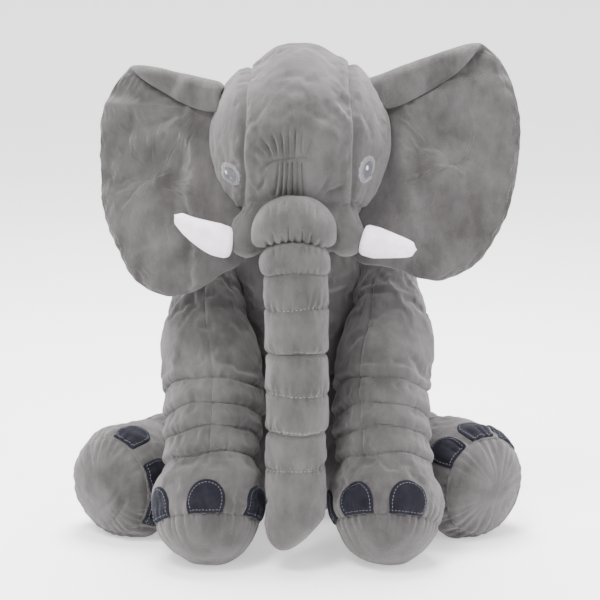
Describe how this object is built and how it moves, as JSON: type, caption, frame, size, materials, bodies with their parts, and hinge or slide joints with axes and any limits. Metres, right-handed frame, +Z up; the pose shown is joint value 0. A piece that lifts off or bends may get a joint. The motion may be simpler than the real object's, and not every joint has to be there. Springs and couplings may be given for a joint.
{
  "type": "stuffed elephant",
  "caption": "Sitting plush elephant with stuffed head, floppy ears, tusks, a ringed trunk and four stuffed legs with felt toenails.",
  "frame": {"origin": "centre of the bounding box on the floor", "axes": "+Z up; the face looks towards -Y; +X to the right of someone facing the toy"},
  "size_m": [0.5605, 0.4158, 0.6],
  "materials": {
    "grey_plush": "short crushed pile",
    "fibre_filling": "loose polyester fibre",
    "navy_felt": "matte felt",
    "white_fleece": "soft short fleece",
    "eye_thread": "satin embroidery",
    "white_satin": "satin",
    "zip_tape_cloth": "woven tape",
    "zip_plastic": "matte",
    "zip_metal": "satin"
  },
  "bodies": {
    "torso": {"torso_cover": "grey_plush", "torso_base_panel": "grey_plush", "torso_filling": "fibre_filling", "care_label": "white_satin", "zip_tape": "zip_tape_cloth", "zip_teeth": "zip_plastic"},
    "head": {"head_centre_panel": "grey_plush", "head_left_panel": "grey_plush", "head_right_panel": "grey_plush", "head_filling": "fibre_filling", "muzzle_cover": "grey_plush", "brow_roll": "grey_plush", "snout_roll": "grey_plush", "left_cheek": "grey_plush", "right_cheek": "grey_plush", "left_eye": "eye_thread", "right_eye": "eye_thread"},
    "left_ear": {"left_ear_front": "grey_plush", "left_ear_back": "grey_plush", "left_ear_wadding": "fibre_filling"},
    "right_ear": {"right_ear_front": "grey_plush", "right_ear_back": "grey_plush", "right_ear_wadding": "fibre_filling"},
    "left_tusk": {"left_tusk_cover": "white_fleece", "left_tusk_filling": "fibre_filling"},
    "right_tusk": {"right_tusk_cover": "white_fleece", "right_tusk_filling": "fibre_filling"},
    "trunk_upper": {"trunk_upper_cover": "grey_plush", "trunk_upper_filling": "fibre_filling"},
    "trunk_middle": {"trunk_middle_cover": "grey_plush", "trunk_middle_filling": "fibre_filling"},
    "trunk_tip": {"trunk_tip_cover": "grey_plush", "trunk_tip_filling": "fibre_filling"},
    "left_front_leg": {"left_front_leg_cover": "grey_plush", "left_front_sole": "grey_plush", "left_front_toenails": "navy_felt", "left_front_leg_filling": "fibre_filling"},
    "right_front_leg": {"right_front_leg_cover": "grey_plush", "right_front_sole": "grey_plush", "right_front_toenails": "navy_felt", "right_front_leg_filling": "fibre_filling"},
    "left_hind_leg": {"left_hind_leg_cover": "grey_plush", "left_hind_sole": "grey_plush", "left_hind_toenails": "navy_felt", "left_hind_leg_filling": "fibre_filling"},
    "right_hind_leg": {"right_hind_leg_cover": "grey_plush", "right_hind_sole": "grey_plush", "right_hind_toenails": "navy_felt", "right_hind_leg_filling": "fibre_filling"},
    "tail": {"tail_cover": "grey_plush", "tail_tuft": "grey_plush"},
    "zip_slider": {"zip_slider": "zip_metal"},
    "zip_pull": {"zip_pull_tab": "zip_metal"}
  },
  "joints": [
    {"name": "head_nod", "type": "hinge", "parent": "torso", "child": "head", "pos_m": [0, 0.025, 0.325], "axis": [-1, 0, 0], "range_deg": [-5, 18], "stiffness_Nm_per_rad": 14},
    {"name": "left_ear_flap", "type": "hinge", "parent": "head", "child": "left_ear", "pos_m": [-0.11887, -0.045, 0.51476], "axis": [-0.0426, 0.2164, 0.9754], "range_deg": [-4, 18], "stiffness_Nm_per_rad": 0.4},
    {"name": "right_ear_flap", "type": "hinge", "parent": "head", "child": "right_ear", "pos_m": [0.1199, -0.045, 0.52518], "axis": [0.0426, -0.2164, -0.9754], "range_deg": [-4, 18], "stiffness_Nm_per_rad": 0.4},
    {"name": "left_tusk_flex", "type": "hinge", "parent": "head", "child": "left_tusk", "pos_m": [-0.077, -0.124, 0.379], "axis": [0, 1, 0], "range_deg": [-10, 10], "stiffness_Nm_per_rad": 0.12},
    {"name": "right_tusk_flex", "type": "hinge", "parent": "head", "child": "right_tusk", "pos_m": [0.075, -0.122, 0.382], "axis": [0, -1, 0], "range_deg": [-10, 10], "stiffness_Nm_per_rad": 0.12},
    {"name": "trunk_root_bend", "type": "hinge", "parent": "head", "child": "trunk_upper", "pos_m": [-0.001, -0.15039, 0.33406], "axis": [-1, 0, 0], "range_deg": [-3, 18], "stiffness_Nm_per_rad": 1.5},
    {"name": "trunk_middle_bend", "type": "hinge", "parent": "trunk_upper", "child": "trunk_middle", "pos_m": [-0.001, -0.15867, 0.23942], "axis": [-1, 0, 0], "range_deg": [-3, 20], "stiffness_Nm_per_rad": 0.8},
    {"name": "trunk_tip_bend", "type": "hinge", "parent": "trunk_middle", "child": "trunk_tip", "pos_m": [-0.001, -0.16661, 0.14877], "axis": [-1, 0, 0], "range_deg": [-3, 20], "stiffness_Nm_per_rad": 0.4},
    {"name": "left_front_leg_swing", "type": "hinge", "parent": "torso", "child": "left_front_leg", "pos_m": [-0.1155, 0.003, 0.31294], "axis": [-1, 0, 0], "range_deg": [0, 12], "stiffness_Nm_per_rad": 4},
    {"name": "right_front_leg_swing", "type": "hinge", "parent": "torso", "child": "right_front_leg", "pos_m": [0.1155, 0.003, 0.31294], "axis": [-1, 0, 0], "range_deg": [0, 12], "stiffness_Nm_per_rad": 4},
    {"name": "left_hind_leg_spread", "type": "hinge", "parent": "torso", "child": "left_hind_leg", "pos_m": [-0.11632, 0.09371, 0.0665], "axis": [0, 0, -1], "range_deg": [0, 20], "stiffness_Nm_per_rad": 4},
    {"name": "right_hind_leg_spread", "type": "hinge", "parent": "torso", "child": "right_hind_leg", "pos_m": [0.11632, 0.09371, 0.0665], "axis": [0, 0, 1], "range_deg": [0, 20], "stiffness_Nm_per_rad": 4},
    {"name": "tail_lift", "type": "hinge", "parent": "torso", "child": "tail", "pos_m": [0, 0.196, 0.108], "axis": [1, 0, 0], "range_deg": [0, 70], "stiffness_Nm_per_rad": 0.02},
    {"name": "zip_run", "type": "slide", "parent": "torso", "child": "zip_slider", "axis": [0, 0.355, -0.9349], "range_m": [0, 0.118]},
    {"name": "zip_pull_turn", "type": "hinge", "parent": "zip_slider", "child": "zip_pull", "pos_m": [0, 0.13572, 0.25652], "axis": [1, 0, 0], "range_deg": [0, 150]}
  ]
}
